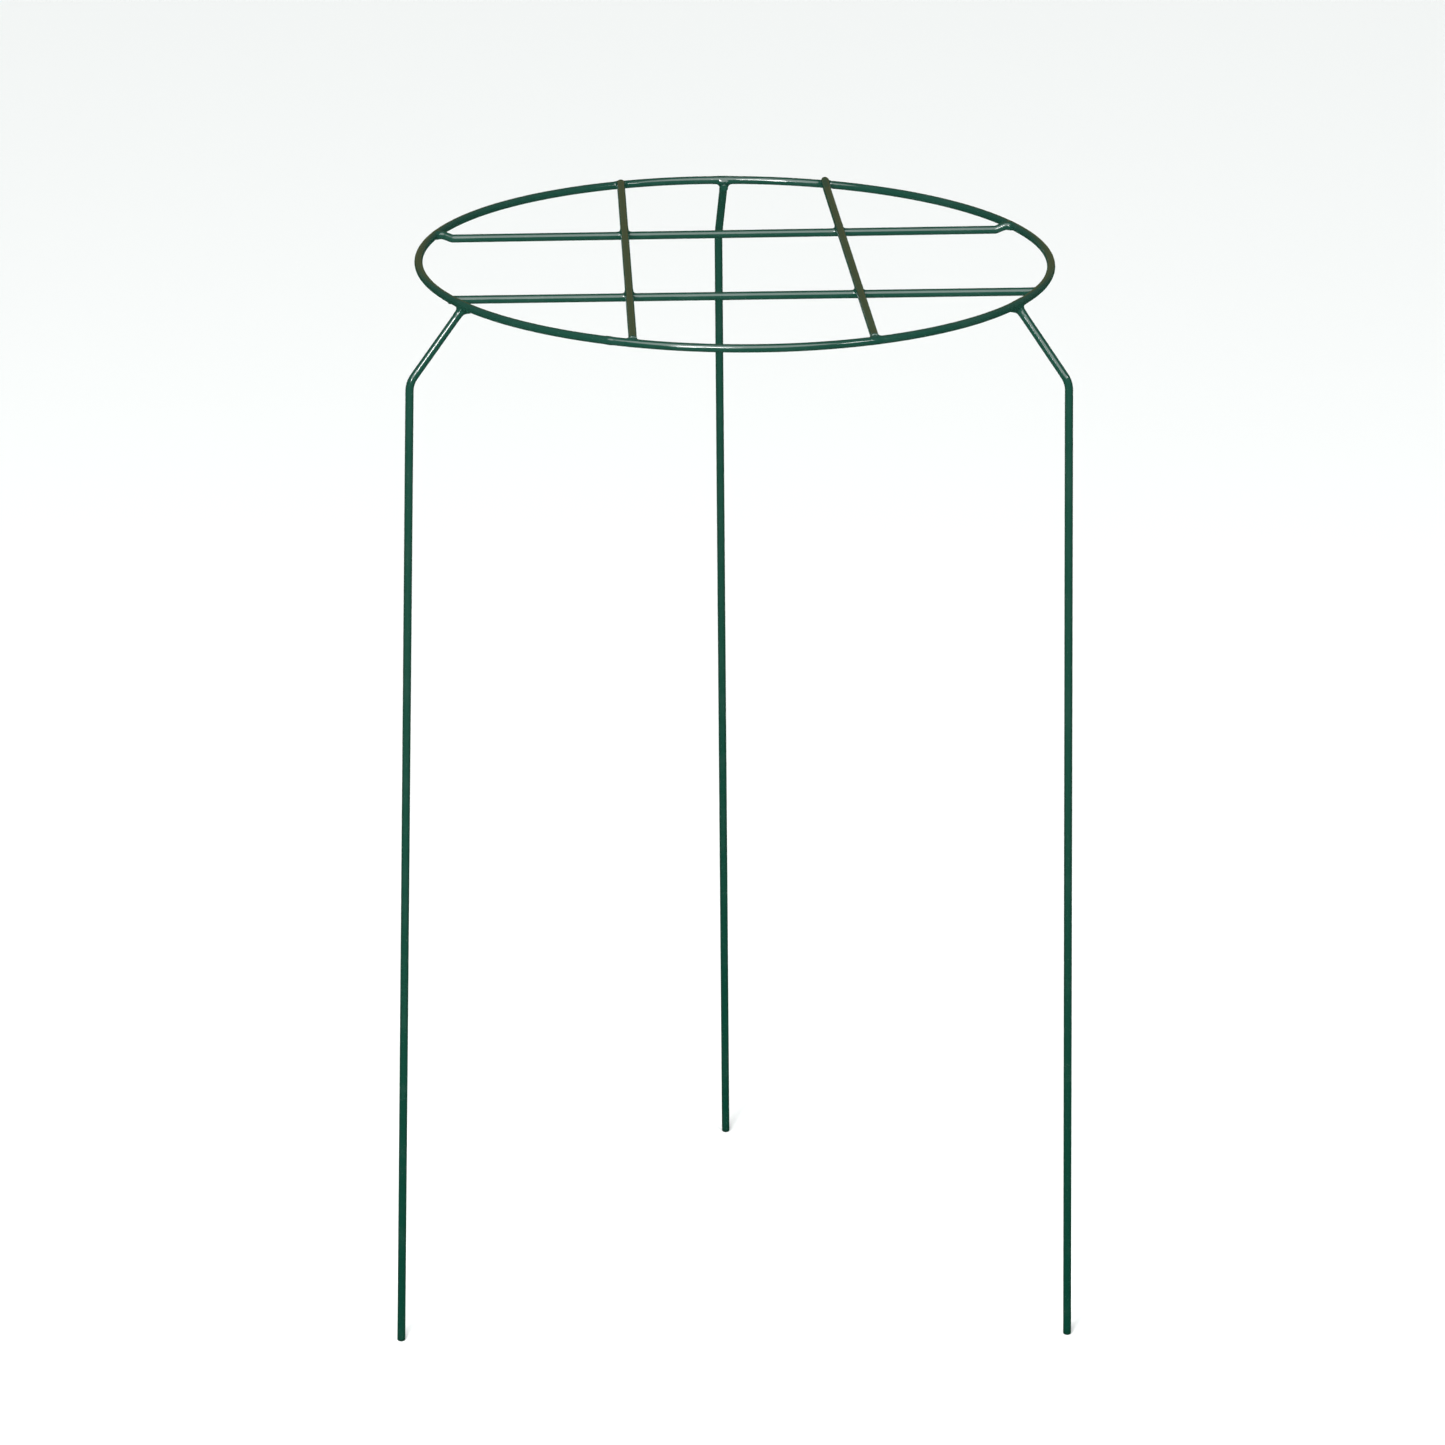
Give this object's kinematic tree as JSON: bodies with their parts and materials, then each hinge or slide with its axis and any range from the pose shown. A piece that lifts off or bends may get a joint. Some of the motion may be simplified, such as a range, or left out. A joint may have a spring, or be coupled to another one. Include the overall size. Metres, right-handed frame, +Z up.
{
  "type": "grow-through plant support",
  "caption": "Round wire hoop with a crossing wire grid, on straight stake legs, all in green plastic-coated steel wire. Holds a plant upright as it grows through.",
  "frame": {"origin": "ground level, in the middle of the bounding box, about 21 mm behind the hoop axis", "axes": "+Z up along the legs, +Y to the rear leg, +X to the right along the two lower grid wires"},
  "size_m": [0.435, 0.4466, 0.6904],
  "materials": {
    "wire_steel": "drawn low-carbon wire",
    "weld_steel": "resistance weld, blued by heat",
    "coat_hoop": "semi-gloss dark green plastic coat",
    "coat_grid": "semi-gloss dark green plastic coat",
    "coat_legs": "semi-gloss dark green plastic coat",
    "coat_webs": "semi-gloss dark green plastic, pooled at the joints"
  },
  "bodies": {
    "root": {"hoop_core": "wire_steel", "hoop_butt_weld": "weld_steel", "hoop_coat": "coat_hoop", "hoop_butt_coat_web": "coat_webs", "cross_wire_rear_core": "wire_steel", "cross_wire_rear_coat": "coat_grid", "cross_wire_front_core": "wire_steel", "cross_wire_front_coat": "coat_grid", "cross_wire_left_core": "wire_steel", "cross_wire_left_coat": "coat_grid", "cross_wire_right_core": "wire_steel", "cross_wire_right_coat": "coat_grid", "leg_left_core": "wire_steel", "leg_left_coat": "coat_legs", "leg_right_core": "wire_steel", "leg_right_coat": "coat_legs", "leg_rear_core": "wire_steel", "leg_rear_coat": "coat_legs", "crossing_welds": "weld_steel", "crossing_coat_webs": "coat_webs", "leg_welds": "weld_steel", "leg_coat_webs": "coat_webs"}
  },
  "joints": []
}
